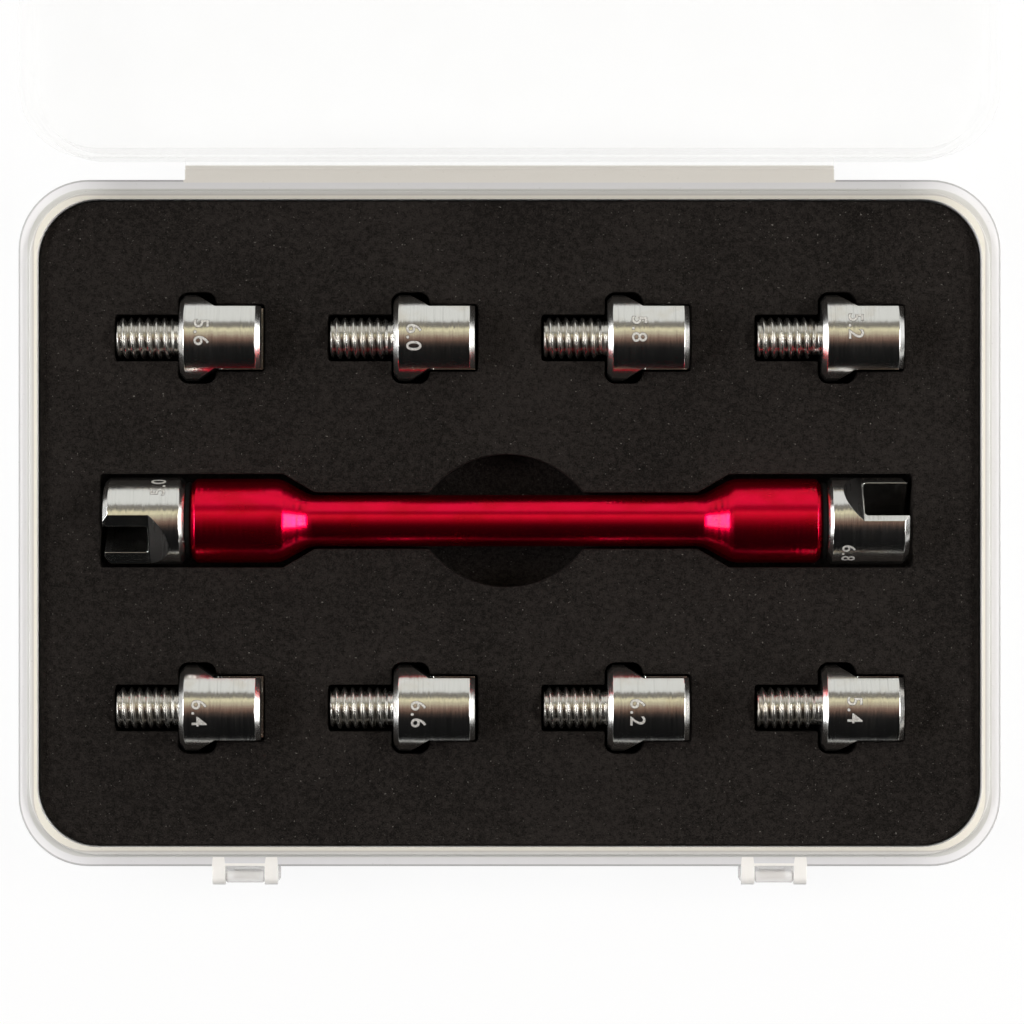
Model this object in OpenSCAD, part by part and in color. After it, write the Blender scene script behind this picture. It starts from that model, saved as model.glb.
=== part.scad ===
// Spoke wrench with screw-in tips in a hinged foam-lined case.
// Millimetres. +X runs along the wrench, +Y to the case hinge, +Z up.
// The origin is the middle of the tray's underside.

/* [Case] */
// outer length of the rim, left to right
case_l = 150; // [130:0.5:180]
// outer depth of the rim, front to back
case_w = 104.8; // [92:0.2:120]
// radius of the rim's outer corners
case_r = 10.8; // [10:0.1:13]
// height from the floor to the plane where the two rims meet
case_h = 13; // [12.4:0.1:16]
// thickness of the moulded walls and panels
wall_t = 1.2; // [1:0.05:1.4]
// width of the rim from its outer edge to the inside of the tray wall
rim_w = 3; // [2.8:0.05:3.3]
// radius of the tray's inside corners
cavity_r = 9.2; // [8.4:0.1:10]
// height of the tray wall above the rim, which locates the closed lid
tongue_h = 0.8; // [0.4:0.1:1.2]
// gap between that wall and the inside of the closed lid
tongue_gap = 0.3; // [0.2:0.05:0.4]
// thickness of the rim flange
flange_t = 1.4; // [1:0.1:1.8]
// radius of the outside bottom edge of tray and lid
edge_r = 2.2; // [1.6:0.1:3]
// gap between the two rims when the lid is closed
part_gap = 0.1; // [0.06:0.02:0.2]

/* [Hinge] */
// distance from each end of the hinge strip to the side of the rim
hinge_edge = 25.4; // [18:0.2:34]
// distance from the rim's edge to the fold line
hinge_out = 1.7; // [1.4:0.1:2.4]
// thickness of the hinge strip
hinge_t = 1.2; // [0.9:0.1:1.6]
// thickness left at the fold line
fold_t = 0.35; // [0.2:0.05:0.5]
// gap between the two halves of the strip at the fold line
fold_gap = 0.1; // [0.06:0.02:0.2]

/* [Latches] */
// distance from each latch's middle to the side of the rim
latch_edge = 34.6; // [27:0.2:45]
// width of a latch plate
latch_w = 10; // [9:0.1:12]
// thickness of a latch plate
latch_t = 1.8; // [1.6:0.1:2]
// reach of a latch from its pivot to its free end
latch_l = 9; // [8.4:0.1:9.6]
// distance of the latch pivot in front of the rim's edge
pivot_out = 1.7; // [1.6:0.05:2]
// diameter of the latch's pivot pins
pivot_d = 1.1; // [0.9:0.05:1.2]
// radial running fit of a pivot pin
pivot_fit = 0.06; // [0.03:0.01:0.1]
// width of each lug that carries a latch
lug_w = 2; // [1.6:0.1:2.4]
// radius of the rounded lug end
lug_r = 1.2; // [1.1:0.05:1.3]
// side gap between a latch and its lugs
lug_gap = 0.2; // [0.1:0.05:0.3]
// width of the catch window in a latch
window_w = 4; // [3.6:0.1:4.4]
// height of the catch window
window_h = 2.8; // [2.6:0.1:3]
// distance from the pivot to the near edge of the window
window_at = 2.9; // [2.7:0.05:3]
// clearance of the lid's catch in the window
catch_gap = 0.3; // [0.2:0.05:0.4]
// height of the finger lip at the latch's end
lip_h = 0.8; // [0.4:0.1:1]
// length of the slope up to the finger lip
lip_l = 2; // [1.4:0.1:2.4]
// thickness of the finger lip's edge
lip_t = 0.5; // [0.3:0.05:0.8]
// radius of a latch plate's free corners
latch_r = 1.2; // [0.6:0.1:2]
// height of the sloped nose of the lid's catch
catch_nose = 0.6; // [0.3:0.05:0.9]

/* [Foam] */
// gap between the foam and the tray wall
foam_gap = 0.2; // [0.1:0.05:0.4]
// thickness of the plain bottom sheet
sheet_t = 3; // [2.4:0.1:3.4]
// thickness of the die-cut layer
insert_t = 8.2; // [7:0.1:8.4]
// gap between a pocket wall and the piece in it
pocket_gap = 0.4; // [0.3:0.05:0.5]
// extra gap along the sides of the wrench's thick ends
grip_gap = 0.15; // [0:0.05:0.3]
// gap in front of each fitted tip, in which it can be slackened
end_gap = 0.8; // [0.7:0.05:1.2]
// gap between a piece and the bottom sheet
seat_gap = 0.3; // [0.2:0.05:0.4]
// radius of the two finger-recess arcs
recess_r = 14.9; // [13:0.1:16]
// reach of the finger recess from the wrench's axis
recess_out = 10.15; // [8.5:0.05:11.5]
// radius of a pocket's corners at the collar
bump_r = 1.6; // [1:0.1:1.7]
// radius of a pocket's outer corners
pocket_r = 0.5; // [0.3:0.05:0.6]

/* [Handle] */
// distance from each jaw of the wrench to the side of the rim
wrench_edge = 13.7; // [10:0.1:16]
// radial step from a tip's head down to the handle's thick ends
grip_step = 0.2; // [0.1:0.05:0.5]
// length of each thick end up to its taper
grip_l = 13.5; // [12:0.1:15]
// length of each taper
taper_l = 4.6; // [4:0.1:6]
// radius of the rounding at both ends of a taper
taper_r = 3; // [1:0.1:4]
// diameter of the waist
waist_d = 7.8; // [7:0.1:9]
// chamfer of the handle's end edges
handle_edge = 0.7; // [0.4:0.05:1]
// chamfer at the mouth of each threaded hole
mouth_edge = 0.4; // [0.2:0.05:0.6]
// radial clearance of a stud in its hole
stud_fit = 0.05; // [0.02:0.01:0.1]
// depth of a hole beyond the end of the stud
hole_spare = 1; // [0.6:0.1:2]
// wrench's middle to the right of the case's middle
wrench_x = -0.5; // [-1:0.1:0.4]
// wrench's axis behind the case's middle
wrench_y = 0.35; // [-0.5:0.05:0.5]
// outer diameter of the rubber rings
ring_d = 11.8; // [11:0.1:12.4]
// thickness of the rubber rings
ring_t = 0.9; // [0.8:0.05:1.1]
// inner diameter of the rubber rings
ring_bore = 6.6; // [6.4:0.1:7]

/* [Tips] */
// diameter of a tip's head
head_d = 13.2; // [12.8:0.1:13.4]
// length of a tip's head
head_l = 12.4; // [12.2:0.1:12.6]
// chamfer at both ends of the head
head_edge = 0.8; // [0.4:0.05:1]
// width across the two flats
flat_w = 9.5; // [9.2:0.05:9.9]
// length of each flat from the front
flat_l = 7; // [6.8:0.1:7.4]
// length of the slope from flat to collar
slope_l = 3; // [2.6:0.1:3.2]
// depth of the jaw slot from the front
slot_l = 6.8; // [6.4:0.1:7]
// radius of the slot's inner corners
slot_r = 0.6; // [0.3:0.05:1]
// jaw width of the smallest tip
jaw_min = 5; // [4.8:0.05:5.2]
// step in jaw width from tip to tip
jaw_step = 0.2; // [0.1:0.01:0.2]
// outer diameter of the threaded stud
stud_d = 6.35; // [6:0.05:6.4]
// length of the stud from the collar
stud_l = 9.7; // [9.4:0.1:10]
// thread pitch
pitch = 1.27; // [1.1:0.01:1.4]
// depth of the thread
thread_t = 0.62; // [0.4:0.02:0.7]
// chamfer at the stud's end
stud_edge = 0.5; // [0.3:0.05:0.6]
// diameter of the plain neck by the collar
neck_d = 4.9; // [4.6:0.1:5.1]
// length of the plain neck
neck_l = 1.5; // [1.3:0.1:1.6]
// distance from the middle of the outermost spare tips to the side of the rim
spare_edge = 26.1; // [24:0.1:30]
// distance from each row of spare tips to the front or back of the rim
row_edge = 24.1; // [20:0.1:27]
// rise of the left fitted tip's front flat from upright
roll_left = 53; // [0:1:90]
// rise of the right fitted tip's back flat from upright
roll_right = 46; // [0:1:90]

/* [Hidden] */
$fn = 96;
eps = 0.01;
over = 1;
arc_n = 6;
row_n = 4;

cavity_l = case_l - 2 * rim_w;
cavity_w = case_w - 2 * rim_w;
shell_r = cavity_r + wall_t;
lid_cavity_l = cavity_l + 2 * (wall_t + tongue_gap);
lid_cavity_w = cavity_w + 2 * (wall_t + tongue_gap);
lid_cavity_r = shell_r + tongue_gap;
core_l = cavity_l - 2 * cavity_r;
core_w = cavity_w - 2 * cavity_r;
rim_z = case_h - part_gap / 2;
hinge_y = case_w / 2 + hinge_out;
pivot_y = -case_w / 2 - pivot_out;
pivot_z = rim_z - lug_r;
hinge_l = case_l - 2 * hinge_edge;
latch_x = case_l / 2 - latch_edge;
tongue_w = latch_w - 2 * (lug_w + lug_gap);
plate_from = lug_r + 1.5 * lug_gap;
catch_from = case_h - pivot_z;
root_in = rim_w / 3;
sheet_z = wall_t;
insert_z = sheet_z + sheet_t;
axis_z = insert_z + seat_gap + head_d / 2;
foam_l = cavity_l - 2 * foam_gap;
foam_w = cavity_w - 2 * foam_gap;
foam_r = cavity_r - foam_gap;
handle_l = case_l - 2 * (wrench_edge + head_l + ring_t);
grip_d = head_d - 2 * grip_step;
tip_l = stud_l + head_l;
spare_pitch = (case_l - 2 * spare_edge) / (row_n - 1);
spare_x = -case_l / 2 + spare_edge - tip_l / 2 + stud_l;
row_y = case_w / 2 - row_edge;
grip_half = head_d / 2 + pocket_gap + grip_gap;
waist_half = waist_d / 2 + pocket_gap;
wrench_half = handle_l / 2 + ring_t + head_l;
hole_l = stud_l - ring_t + hole_spare;
thread_n = floor((stud_l - neck_l - stud_edge) / pitch);

case_color = [0.92, 0.93, 0.92];
foam_color = [0.14, 0.12, 0.11];
steel_color = [0.82, 0.82, 0.84];
handle_color = [0.78, 0.02, 0.16];
rubber_color = [0.05, 0.05, 0.05];

// rounded rectangle about the origin
module panel(l, w, r) {
  square([l, w - 2 * r], center = true);
  square([l - 2 * r, w], center = true);
  for (sx = [-1, 1], sy = [-1, 1])
    translate([sx * (l / 2 - r), sy * (w / 2 - r)])
      circle(r);
}

// half cross-section of a shallow shell, measured from the corner's axis:
// outside radius ro, inside radius ri, height h, bottom edge radius er
module shell_section(ro, ri, h, er) {
  difference() {
    union() {
      translate([0, er])
        square([ro, h - er]);
      square([ro - er, h]);
      translate([ro - er, er])
        circle(er);
    }
    translate([-over, wall_t])
      square([ri + over, h]);
    translate([-2 * ro, -over])
      square([2 * ro, h + 2 * over]);
  }
}

// shell swept round a rounded rectangle whose corner axes are l by w apart
module shell(l, w, ro, ri, h, er) {
  for (a = [0 : 3])
    rotate(a * 90)
      translate([(a % 2 == 0 ? l : w) / 2, (a % 2 == 0 ? w : l) / 2, 0])
        rotate_extrude(angle = 90)
          shell_section(ro, ri, h, er);
  for (a = [0 : 3])
    rotate(a * 90)
      translate([(a % 2 == 0 ? l : w) / 2, (a % 2 == 0 ? w : l) / 2, 0])
        rotate([90, 0, 0])
          linear_extrude(a % 2 == 0 ? w : l)
            shell_section(ro, ri, h, er);
  translate([-l / 2, -w / 2, 0])
    cube([l, w, wall_t]);
}

// one half of the hinge strip, running from the rim at y = 0 to the fold line
module hinge_half() {
  reach = hinge_out - fold_gap / 2;
  rotate([90, 0, 90])
    linear_extrude(hinge_l, center = true)
      polygon([
        [-root_in, 0], [reach, 0], [reach, -fold_t],
        [reach - hinge_t + fold_t, -hinge_t], [-root_in, -hinge_t]
      ]);
}

// lugs on the tray's rim that carry one latch, with the pivot axis at the origin
module latch_lugs() {
  for (s = [-1, 1])
    translate([s * (latch_w - lug_w) / 2, 0, 0])
      difference() {
        union() {
          rotate([0, 90, 0])
            cylinder(r = lug_r, h = lug_w, center = true);
          translate([-lug_w / 2, 0, -lug_r])
            cube([lug_w, pivot_out + root_in, 2 * lug_r]);
        }
        rotate([0, 90, 0])
          cylinder(d = pivot_d + 2 * pivot_fit, h = lug_w + over, center = true);
      }
}

// bottom half of the case with rim, tongue, hinge strip and latch lugs
module tray() {
  color(case_color) {
    shell(core_l, core_w, shell_r, cavity_r, case_h + tongue_h, edge_r);
    translate([0, 0, rim_z - flange_t])
      linear_extrude(flange_t)
        difference() {
          panel(case_l, case_w, case_r);
          panel(cavity_l + wall_t, cavity_w + wall_t, cavity_r + wall_t / 2);
        }
    translate([0, case_w / 2, rim_z])
      hinge_half();
    for (s = [-1, 1])
      translate([s * latch_x, pivot_y, pivot_z])
        latch_lugs();
  }
}

// catch on the lid's front wall, for one latch window
module lid_catch() {
  w = window_w - 2 * catch_gap;
  top = catch_from - window_at - catch_gap;
  low = catch_from - window_at - window_h + catch_gap;
  rotate([90, 0, 90])
    linear_extrude(w, center = true)
      polygon([
        [-root_in, top], [pivot_out - catch_gap, top], [pivot_out + catch_gap, low + catch_nose],
        [pivot_out, low], [-root_in, low]
      ]);
}

// top half of the case, lying open behind the tray
module lid() {
  color(case_color)
    translate([0, 2 * hinge_y, 0]) {
      shell(core_l, core_w, lid_cavity_r + wall_t, lid_cavity_r, rim_z, edge_r);
      translate([0, 0, rim_z - flange_t])
        linear_extrude(flange_t)
          difference() {
            panel(case_l, case_w, case_r);
            panel(lid_cavity_l, lid_cavity_w, lid_cavity_r);
          }
      translate([0, -case_w / 2, rim_z])
        mirror([0, 1, 0])
          hinge_half();
      for (s = [-1, 1])
        translate([s * latch_x, case_w / 2, case_h])
          lid_catch();
    }
}

// outline of a latch plate below its pivot, with rounded free corners
module latch_outline() {
  translate([-tongue_w / 2, -plate_from - latch_r])
    square([tongue_w, plate_from + latch_r]);
  translate([-latch_w / 2, -latch_l + latch_r])
    square([latch_w, latch_l - latch_r - plate_from]);
  translate([-latch_w / 2 + latch_r, -latch_l])
    square([latch_w - 2 * latch_r, 2 * latch_r]);
  for (s = [-1, 1])
    translate([s * (latch_w / 2 - latch_r), -latch_l + latch_r])
      circle(latch_r);
}

// latch plate hanging from its pivot
module latch() {
  lip_w = latch_w - 2 * latch_r;
  difference() {
    union() {
      rotate([0, 90, 0])
        cylinder(d = latch_t, h = tongue_w, center = true);
      rotate([90, 0, 0])
        linear_extrude(latch_t, center = true)
          latch_outline();
      rotate([0, 90, 0])
        cylinder(d = pivot_d, h = tongue_w + 2 * lug_w, center = true);
      rotate([90, 0, 90])
        linear_extrude(lip_w, center = true)
          polygon([
            [0, -latch_l], [latch_t / 2 + lip_h, -latch_l],
            [latch_t / 2 + lip_h, -latch_l + lip_t], [latch_t / 2, -latch_l + lip_l],
            [0, -latch_l + lip_l]
          ]);
    }
    translate([-window_w / 2, -latch_t, -window_at - window_h])
      cube([window_w, 2 * latch_t, window_h]);
  }
}

module latch_left() {
  color(case_color)
    translate([-latch_x, pivot_y, pivot_z])
      latch();
}

module latch_right() {
  color(case_color)
    translate([latch_x, pivot_y, pivot_z])
      latch();
}

// plain sheet under the die-cut layer
module foam_sheet() {
  color(foam_color)
    translate([0, 0, sheet_z])
      linear_extrude(sheet_t)
        panel(foam_l, foam_w, foam_r);
}

// outline of the wrench's pocket with its finger recess
module wrench_pocket() {
  shoulder = handle_l / 2 - grip_l - pocket_gap;
  slope_end = shoulder - taper_l - pocket_gap / 2;
  tip_end = wrench_half + end_gap;
  for (s = [-1, 1]) {
    polygon([
      [s * slope_end, -waist_half], [s * shoulder, -grip_half],
      [s * shoulder, grip_half], [s * slope_end, waist_half]
    ]);
    translate([s * (shoulder + tip_end) / 2, 0])
      panel(tip_end - shoulder + eps, 2 * grip_half, pocket_r);
    translate([s * (shoulder + handle_l / 2) / 2, 0])
      square([handle_l / 2 - shoulder, 2 * grip_half], center = true);
  }
  square([2 * slope_end, 2 * waist_half], center = true);
  intersection() {
    translate([0, recess_out - recess_r])
      circle(recess_r);
    translate([0, recess_r - recess_out])
      circle(recess_r);
  }
}

// outline of one spare tip's pocket, from the collar's rear face
module tip_pocket() {
  stud_half = stud_d / 2 + pocket_gap;
  head_half = head_d / 2 + pocket_gap;
  flat_half = flat_w / 2 + pocket_gap;
  bump_l = head_l - flat_l + pocket_gap;
  translate([-(stud_l + pocket_gap) / 2, 0])
    panel(stud_l + pocket_gap, 2 * stud_half, pocket_r);
  translate([-stud_l / 4, 0])
    square([stud_l / 2, 2 * stud_half], center = true);
  translate([bump_l / 2 - pocket_gap, 0])
    panel(bump_l, 2 * head_half, bump_r);
  translate([(head_l + pocket_gap) / 2, 0])
    panel(head_l + pocket_gap, 2 * flat_half, pocket_r);
}

// layer with a pocket for every piece
module foam_insert() {
  color(foam_color)
    translate([0, 0, insert_z])
      linear_extrude(insert_t)
        difference() {
          panel(foam_l, foam_w, foam_r);
          translate([wrench_x, wrench_y])
            wrench_pocket();
          for (i = [0 : row_n - 1], s = [-1, 1])
            translate([spare_x + i * spare_pitch, s * row_y])
              tip_pocket();
        }
}

// points of an arc about c in the plane of a turned profile
function arc(c, r, from, to) =
  [for (i = [0 : arc_n]) let (a = from + (to - from) * i / arc_n) c + r * [cos(a), sin(a)]];

// waisted bar with a threaded hole in each end
module handle() {
  half = handle_l / 2;
  hole_r = stud_d / 2 + stud_fit;
  lean = atan2((grip_d - waist_d) / 2, taper_l);
  cut = taper_r * tan(lean / 2);
  taper = concat(
    arc([grip_d / 2 - taper_r, half - grip_l + cut], taper_r, 0, -lean),
    arc([waist_d / 2 + taper_r, half - grip_l - taper_l - cut], taper_r, 180 - lean, 180)
  );
  end = [[0, half], [grip_d / 2 - handle_edge, half], [grip_d / 2, half - handle_edge]];
  side = concat(end, taper);
  color(handle_color)
    translate([wrench_x, wrench_y, axis_z])
      rotate([0, 90, 0])
        difference() {
          rotate_extrude()
            polygon(concat(side, [for (i = [len(side) - 1 : -1 : 0]) [side[i][0], -side[i][1]]]));
          for (s = [0, 180])
            rotate([s, 0, 0])
              rotate_extrude()
                polygon([
                  [0, half - hole_l - hole_r / 2], [hole_r, half - hole_l],
                  [hole_r, half - mouth_edge], [hole_r + mouth_edge + over, half + over],
                  [0, half + over]
                ]);
        }
}

// flat rubber ring with a rounded rim, lying on the plane z = 0
module ring() {
  rotate_extrude() {
    translate([ring_bore / 2, 0])
      square([(ring_d - ring_t - ring_bore) / 2, ring_t]);
    translate([(ring_d - ring_t) / 2, ring_t / 2])
      circle(d = ring_t);
  }
}

module ring_left() {
  color(rubber_color)
    translate([wrench_x - handle_l / 2, wrench_y, axis_z])
      rotate([0, -90, 0])
        ring();
}

module ring_right() {
  color(rubber_color)
    translate([wrench_x + handle_l / 2, wrench_y, axis_z])
      rotate([0, 90, 0])
        ring();
}

// turned outline of stud and head, along z with the collar's rear face at 0
module tip_turned() {
  r = stud_d / 2;
  grooves = [
    for (i = [0 : thread_n - 1], k = [0 : 2])
      [r - (k == 1 ? thread_t : 0), -neck_l - (i + 0.1 + 0.4 * k) * pitch]
  ];
  rotate_extrude()
    polygon(concat(
      [[0, head_l], [head_d / 2 - head_edge, head_l], [head_d / 2, head_l - head_edge],
       [head_d / 2, head_edge], [head_d / 2 - head_edge, 0],
       [neck_d / 2, 0], [neck_d / 2, -neck_l + r - neck_d / 2], [r, -neck_l]],
      grooves,
      [[r, -stud_l + stud_edge], [r - stud_edge, -stud_l], [0, -stud_l]]
    ));
}

// outline of the jaw slot, seen through the flats
module slot_outline(jaw) {
  root = head_l - slot_l;
  translate([root + slot_r, -jaw / 2])
    square([slot_l + over, jaw]);
  translate([root, -jaw / 2 + slot_r])
    square([slot_l + over, jaw - 2 * slot_r]);
  for (s = [-1, 1])
    translate([root + slot_r, s * (jaw / 2 - slot_r)])
      circle(slot_r);
}

// screw-in tip along x, stud to the left, flats facing front and back
module tip(jaw) {
  difference() {
    rotate([0, 90, 0])
      tip_turned();
    for (s = [0, 1])
      mirror([0, s, 0])
        linear_extrude(head_d + over, center = true)
          polygon([
            [head_l + over, flat_w / 2], [head_l - flat_l, flat_w / 2],
            [head_l - flat_l - slope_l, head_d / 2], [head_l - flat_l - slope_l, head_d],
            [head_l + over, head_d]
          ]);
    rotate([90, 0, 0])
      linear_extrude(head_d + over, center = true)
        slot_outline(jaw);
  }
}

// tip number n of the set, in row s at place i
module spare(n, s, i) {
  color(steel_color)
    translate([spare_x + i * spare_pitch, s * row_y, axis_z])
      tip(jaw_min + n * jaw_step);
}

module tip_5_0() {
  color(steel_color)
    translate([wrench_x - handle_l / 2 - ring_t, wrench_y, axis_z])
      rotate([roll_left, 0, 180])
        tip(jaw_min);
}

module tip_6_8() {
  color(steel_color)
    translate([wrench_x + handle_l / 2 + ring_t, wrench_y, axis_z])
      rotate([roll_right, 0, 0])
        tip(jaw_min + 9 * jaw_step);
}

module tip_5_6() {
  spare(3, 1, 0);
}

module tip_6_0() {
  spare(5, 1, 1);
}

module tip_5_8() {
  spare(4, 1, 2);
}

module tip_5_2() {
  spare(1, 1, 3);
}

module tip_6_4() {
  spare(7, -1, 0);
}

module tip_6_6() {
  spare(8, -1, 1);
}

module tip_6_2() {
  spare(6, -1, 2);
}

module tip_5_4() {
  spare(2, -1, 3);
}

tray();
lid();
latch_left();
latch_right();
foam_sheet();
foam_insert();
handle();
ring_left();
ring_right();
tip_5_0();
tip_6_8();
tip_5_6();
tip_6_0();
tip_5_8();
tip_5_2();
tip_6_4();
tip_6_6();
tip_6_2();
tip_5_4();
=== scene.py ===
"""Boxed spoke wrench set: red waisted handle, ten screw-in tips, cut foam bed and hinged plastic case.

Sizes in the classes are in millimetres and become metres when a mesh is made. +X runs along the wrench,
+Y points to the case's hinge and +Z points up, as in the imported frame.
"""
import logging
import math
from dataclasses import dataclass, field
from enum import Enum
from typing import Any, Callable, Mapping, Optional, Sequence, Union

import bmesh
import bpy
import numpy as np
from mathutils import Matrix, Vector


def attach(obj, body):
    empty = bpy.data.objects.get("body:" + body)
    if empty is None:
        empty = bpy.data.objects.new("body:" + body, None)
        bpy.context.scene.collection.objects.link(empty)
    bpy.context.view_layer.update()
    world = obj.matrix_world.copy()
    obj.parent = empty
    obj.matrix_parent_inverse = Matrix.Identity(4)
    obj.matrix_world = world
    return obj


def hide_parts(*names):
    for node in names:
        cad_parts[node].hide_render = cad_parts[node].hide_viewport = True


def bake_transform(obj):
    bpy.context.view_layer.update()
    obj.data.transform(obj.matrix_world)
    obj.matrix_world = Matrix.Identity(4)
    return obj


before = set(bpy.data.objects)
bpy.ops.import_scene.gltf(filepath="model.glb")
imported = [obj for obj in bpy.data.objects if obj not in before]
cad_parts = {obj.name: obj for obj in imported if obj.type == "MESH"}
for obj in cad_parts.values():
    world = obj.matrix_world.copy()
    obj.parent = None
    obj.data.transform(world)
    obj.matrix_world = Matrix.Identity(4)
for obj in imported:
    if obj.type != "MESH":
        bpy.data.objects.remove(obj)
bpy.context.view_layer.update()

MM = 0.001
LOG = logging.getLogger("spoke_wrench_set")
TURNS = 128  # points round a plain turned piece
CAD_JOIN = 0.002  # millimetres within which a CAD mesh's points are one
CAD_FLAT = 0.4  # degrees within which its faces are one flat face
LEG_SHARE = 0.48  # most of a leg that a rounded corner takes

Colour = tuple[float, float, float]
Value = Union["Sock", float]


def two_sided(operation: str, flipped: bool = False) -> Callable[["Sock", Value], "Sock"]:
    """Method of a socket that adds one Math node with another value, which comes first if flipped."""
    return lambda self, other: self.math(operation, *((other, self) if flipped else (self, other)))


class Sock:
    """An output socket of a shader graph. Arithmetic on it adds Math nodes."""

    def __init__(self, graph: "Graph", socket: bpy.types.NodeSocket) -> None:
        """Wraps one output socket of a graph."""
        self.graph = graph
        self.socket = socket

    def math(self, operation: str, *values: Value) -> "Sock":
        """Result of one Math node with these inputs, in order."""
        return self.graph.node("ShaderNodeMath", {"operation": operation}, dict(enumerate(values)))

    __add__, __radd__ = two_sided("ADD"), two_sided("ADD", True)
    __sub__, __rsub__ = two_sided("SUBTRACT"), two_sided("SUBTRACT", True)
    __mul__, __rmul__ = two_sided("MULTIPLY"), two_sided("MULTIPLY", True)
    most, least = two_sided("MAXIMUM"), two_sided("MINIMUM")

    def sine(self) -> "Sock":
        """Sine of the value."""
        return self.math("SINE", self)

    def size(self) -> "Sock":
        """The value without its sign."""
        return self.math("ABSOLUTE", self)

    def smooth(self, low: float, high: float) -> "Sock":
        """Smooth step from zero at low to one at high."""
        return self.graph.node(
            "ShaderNodeMapRange",
            {"interpolation_type": "SMOOTHSTEP"},
            {"Value": self, "From Min": low, "From Max": high},
        )


class Graph:
    """Builder of one shader node tree."""

    def __init__(self, tree: bpy.types.NodeTree) -> None:
        """Empties a tree and keeps it."""
        self.tree = tree
        tree.nodes.clear()

    @staticmethod
    def pick(sockets: Sequence[bpy.types.NodeSocket], key: Union[str, int]) -> bpy.types.NodeSocket:
        """Finds a socket by place, identifier or name.

        Args:
            sockets: A node's inputs or outputs.
            key: Place, identifier or name.

        Returns:
            The socket.
        """
        if isinstance(key, int):
            return sockets[key]
        named = [s for s in sockets if s.identifier == key]
        return (named or [s for s in sockets if s.name == key])[0]

    def node(
        self,
        kind: str,
        settings: Mapping[str, Any],
        sockets: Mapping[Union[str, int], Any],
        out: Union[str, int] = 0,
    ) -> Sock:
        """Adds a node: its settings first, then the values or links of its sockets.

        Args:
            kind: Blender's name of the node's type.
            settings: Attributes of the node; "stops" holds a ramp's places and colours.
            sockets: Inputs by place, identifier or name.
            out: The output wanted.

        Returns:
            The wanted output.
        """
        node = self.tree.nodes.new(kind)
        for key, value in settings.items():
            if key == "stops":
                self.ramp(node.color_ramp, value)
            else:
                setattr(node, key, value)
        for key, value in sockets.items():
            target = self.pick(node.inputs, key)
            if isinstance(value, Sock):
                self.tree.links.new(value.socket, target)
            else:
                target.default_value = value
        return Sock(self, self.pick(node.outputs, out)) if node.outputs else Sock(self, None)

    @staticmethod
    def ramp(ramp: bpy.types.ColorRamp, stops: Sequence[tuple[float, Colour]]) -> None:
        """Sets a colour ramp's stops.

        Args:
            ramp: The ramp.
            stops: Places and colours, in order.
        """
        while len(ramp.elements) < len(stops):
            ramp.elements.new(1.0)
        for element, (place, colour) in zip(ramp.elements, stops):
            element.position = place
            element.color = (*colour, 1.0)

    def place(self, scale: Colour) -> Sock:
        """Object coordinates stretched by a factor per axis."""
        here = self.node("ShaderNodeTexCoord", {}, {}, "Object")
        return self.node("ShaderNodeMapping", {}, {"Vector": here, "Scale": scale})

    def axis(self, name: str) -> Sock:
        """One object coordinate in millimetres."""
        here = self.node("ShaderNodeTexCoord", {}, {}, "Object")
        return self.node("ShaderNodeSeparateXYZ", {}, {0: here}, name) * (1.0 / MM)

    def inset(self, half: tuple[float, float], corner: float) -> Sock:
        """Depth inside a rounded rectangle about the Z axis.

        With (x, y) a point's place beyond the centre of its corner, the depth is the corner's radius less the
        length of the positive part of (x, y), and less the greater of the two where both are negative.

        Args:
            half: Half the rectangle's sides in millimetres.
            corner: Radius of its corners in millimetres.

        Returns:
            The depth in millimetres, below zero outside.
        """
        x = self.axis("X").size() - (half[0] - corner)
        y = self.axis("Y").size() - (half[1] - corner)
        out_x, out_y = x.most(0.0), y.most(0.0)
        square = out_x * out_x + out_y * out_y
        return corner - square.math("SQRT", square) - x.most(y).least(0.0)

    def noise(self, scale: Union[float, Colour], detail: float = 2.0, rough: float = 0.5) -> Sock:
        """Noise from zero to one.

        Args:
            scale: Grains per metre, one number for all axes or one for each.
            detail: Number of finer octaves.
            rough: Share of each finer octave.

        Returns:
            The noise value.
        """
        stretch = scale if isinstance(scale, tuple) else (scale,) * 3
        return self.node(
            "ShaderNodeTexNoise",
            {},
            {"Vector": self.place(stretch), "Scale": 1.0, "Detail": detail, "Roughness": rough},
            "Fac",
        )

    def mix(self, factor: Value, first: Any, second: Any) -> Sock:
        """Blend of two colours.

        Args:
            factor: Share of the second colour.
            first: Colour or link at zero.
            second: Colour or link at one.

        Returns:
            The blended colour.
        """
        pair = {
            "Factor_Float": factor,
            "A_Color": first if isinstance(first, Sock) else (*first, 1.0),
            "B_Color": second if isinstance(second, Sock) else (*second, 1.0),
        }
        return self.node("ShaderNodeMix", {"data_type": "RGBA"}, pair, "Result_Color")

    def vector(self, operation: str, *values: Any) -> Sock:
        """Vector from one Vector Math node with these inputs, in order."""
        return self.node("ShaderNodeVectorMath", {"operation": operation}, dict(enumerate(values)), "Vector")

    def scaled(self, vector: Sock, factor: Sock) -> Sock:
        """A vector times a number."""
        return self.node("ShaderNodeVectorMath", {"operation": "SCALE"}, {0: vector, "Scale": factor}, "Vector")

    def bump(self, height: Sock, depth: float, facing: Optional[Sock] = None) -> Sock:
        """Normal from a height between zero and one.

        Args:
            height: The height.
            depth: Its depth in millimetres.
            facing: Normal that it starts from, else the surface's own.

        Returns:
            The leaning normal.
        """
        base = {} if facing is None else {"Normal": facing}
        return self.node("ShaderNodeBump", {}, {"Height": height, "Distance": depth * MM, **base}, "Normal")

    def surface(self, sockets: Mapping[str, Any]) -> Sock:
        """A Principled shader with these sockets."""
        return self.node("ShaderNodeBsdfPrincipled", {}, sockets)

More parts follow.
